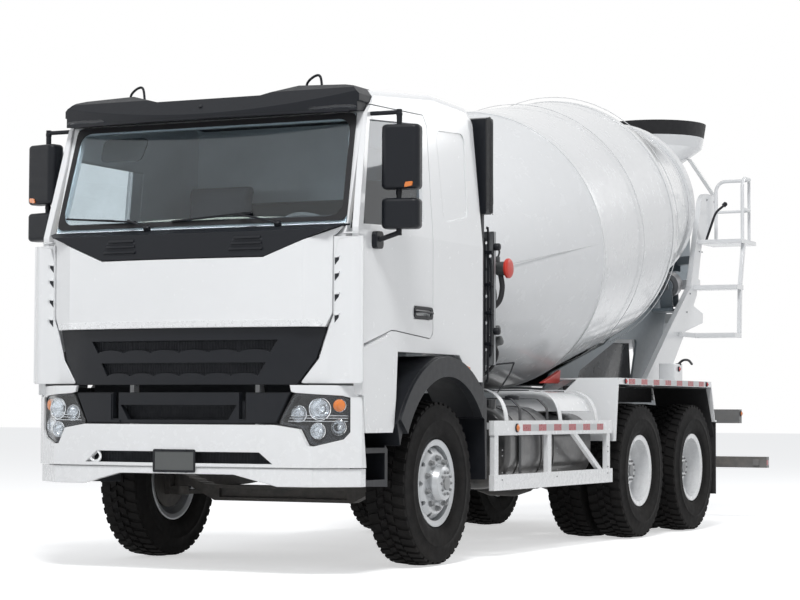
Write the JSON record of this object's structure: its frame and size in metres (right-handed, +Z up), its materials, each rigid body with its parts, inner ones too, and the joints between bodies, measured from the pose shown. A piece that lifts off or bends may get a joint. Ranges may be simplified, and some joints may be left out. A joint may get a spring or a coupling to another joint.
{
  "type": "concrete mixer truck",
  "caption": "Forward-control truck with a tilting cab, a twin-tyred rear bogie, a sloping rotating mixing drum, a filling hopper and a swinging discharge chute.",
  "frame": {"origin": "centre of the bounding box at ground level", "axes": "+Z up, -Y towards the front of the truck, +X towards the truck's left side"},
  "size_m": [2.9588, 9.65, 3.906],
  "materials": {
    "cab_white": "gloss",
    "frame_grey": "satin",
    "drum_white": "satin",
    "stand_bluegrey": "satin",
    "axle_black": "satin",
    "engine_grey": "satin",
    "tyre_rubber": "matte",
    "rubber_black": "matte",
    "plastic_black": "matte",
    "plastic_dark": "matte",
    "glass_tint": "clear",
    "lamp_clear": "clear",
    "dash_grey": "matte",
    "seat_cloth": "matte",
    "roller_steel": "brushed"
  },
  "bodies": {
    "chassis": {"frame_rails": "frame_grey", "front_axle": "axle_black", "leaf_springs": "axle_black", "drive_axles": "axle_black", "engine": "engine_grey", "side_tanks": "plastic_dark", "exhaust_and_battery_boxes": "frame_grey", "bumper": "cab_white", "bumper_grille": "plastic_black", "headlights": "lamp_clear", "front_mudguards": "plastic_black", "step_panels": "cab_white", "drum_pedestal": "stand_bluegrey", "mixer_subframe": "stand_bluegrey", "drum_stand": "stand_bluegrey", "hopper": "cab_white", "hopper_collar": "rubber_black", "discharge_chute": "stand_bluegrey", "rear_supports": "cab_white", "ladder_and_platform": "cab_white", "rear_fenders": "cab_white", "mudflaps": "rubber_black", "rear_lamp_and_underrun_bars": "frame_grey", "side_guards": "cab_white", "air_intake": "plastic_black"},
    "cab": {"cab_shell": "cab_white", "windscreen": "glass_tint", "visor": "plastic_black", "corner_fairings": "cab_white", "dashboard": "dash_grey", "seat_bases": "plastic_dark", "seat_cushions": "seat_cloth"},
    "nose": {"front_panel": "cab_white", "grille": "plastic_black", "cowl": "plastic_black"},
    "left_door": {"door_left": "cab_white", "door_glass_left": "glass_tint", "mirror_left": "plastic_black"},
    "right_door": {"door_right": "cab_white", "door_glass_right": "glass_tint", "mirror_right": "plastic_black"},
    "left_knuckle": {"knuckle_left": "axle_black"},
    "right_knuckle": {"knuckle_right": "axle_black"},
    "wheel_front_left": {"rim_front_left": "cab_white", "tyre_front_left": "tyre_rubber"},
    "wheel_front_right": {"rim_front_right": "cab_white", "tyre_front_right": "tyre_rubber"},
    "wheels_mid_left": {"rim_mid_left": "cab_white", "tyres_mid_left": "tyre_rubber"},
    "wheels_mid_right": {"rim_mid_right": "cab_white", "tyres_mid_right": "tyre_rubber"},
    "wheels_rear_left": {"rim_rear_left": "cab_white", "tyres_rear_left": "tyre_rubber"},
    "wheels_rear_right": {"rim_rear_right": "cab_white", "tyres_rear_right": "tyre_rubber"},
    "mixer_drum": {"drum": "drum_white"},
    "roller_left": {"support_roller_left": "roller_steel"},
    "roller_right": {"support_roller_right": "roller_steel"},
    "swinging_chute": {"swing_chute": "cab_white"}
  },
  "joints": [
    {"name": "cab_tilt", "type": "hinge", "parent": "chassis", "child": "cab", "pos_m": [0, -4.575, 0.82], "axis": [1, 0, 0], "range_deg": [0, 40]},
    {"name": "nose_lift", "type": "hinge", "parent": "cab", "child": "nose", "pos_m": [0, -4.567, 2.198], "axis": [-1, 0, 0], "range_deg": [0, 60]},
    {"name": "door_left_hinge", "type": "hinge", "parent": "cab", "child": "left_door", "pos_m": [1.182, -4.582, 2], "axis": [0, 0, -1], "range_deg": [0, 70]},
    {"name": "door_right_hinge", "type": "hinge", "parent": "cab", "child": "right_door", "pos_m": [-1.182, -4.582, 2], "axis": [0, 0, 1], "range_deg": [0, 70]},
    {"name": "steer_left", "type": "hinge", "parent": "chassis", "child": "left_knuckle", "pos_m": [0.835, -3.354, 0.552], "axis": [0, 0, 1], "range_deg": [-35, 35]},
    {"name": "steer_right", "type": "hinge", "parent": "chassis", "child": "right_knuckle", "pos_m": [-0.835, -3.354, 0.552], "axis": [0, 0, 1], "range_deg": [-35, 35]},
    {"name": "spin_front_left", "type": "hinge", "parent": "left_knuckle", "child": "wheel_front_left", "pos_m": [1.025, -3.354, 0.552], "axis": [1, 0, 0], "continuous": true},
    {"name": "spin_front_right", "type": "hinge", "parent": "right_knuckle", "child": "wheel_front_right", "pos_m": [-1.025, -3.354, 0.552], "axis": [1, 0, 0], "continuous": true},
    {"name": "spin_mid_left", "type": "hinge", "parent": "chassis", "child": "wheels_mid_left", "pos_m": [0.9225, 0.471, 0.552], "axis": [1, 0, 0], "continuous": true},
    {"name": "spin_mid_right", "type": "hinge", "parent": "chassis", "child": "wheels_mid_right", "pos_m": [-0.9225, 0.471, 0.552], "axis": [1, 0, 0], "continuous": true},
    {"name": "spin_rear_left", "type": "hinge", "parent": "chassis", "child": "wheels_rear_left", "pos_m": [0.9225, 1.821, 0.552], "axis": [1, 0, 0], "continuous": true},
    {"name": "spin_rear_right", "type": "hinge", "parent": "chassis", "child": "wheels_rear_right", "pos_m": [-0.9225, 1.821, 0.552], "axis": [1, 0, 0], "continuous": true},
    {"name": "drum_spin", "type": "hinge", "parent": "chassis", "child": "mixer_drum", "pos_m": [0, 0.175, 2.409], "axis": [0, 0.9813, 0.1927], "continuous": true},
    {"name": "roller_spin_left", "type": "hinge", "parent": "chassis", "child": "roller_left", "pos_m": [0.4974, 3.3076, 2.2436], "axis": [0, 0.9813, 0.1927], "continuous": true},
    {"name": "roller_spin_right", "type": "hinge", "parent": "chassis", "child": "roller_right", "pos_m": [-0.4974, 3.3076, 2.2436], "axis": [0, 0.9813, 0.1927], "continuous": true},
    {"name": "chute_swing", "type": "hinge", "parent": "chassis", "child": "swinging_chute", "pos_m": [0, 4.185, 1.65], "axis": [0, 0, -1], "range_deg": [0, 150]}
  ],
  "couplings": [
    {"joint": "steer_right", "follows": "steer_left", "ratio": 1},
    {"joint": "roller_spin_left", "follows": "drum_spin", "ratio": -6.6083},
    {"joint": "roller_spin_right", "follows": "drum_spin", "ratio": -6.6083}
  ]
}
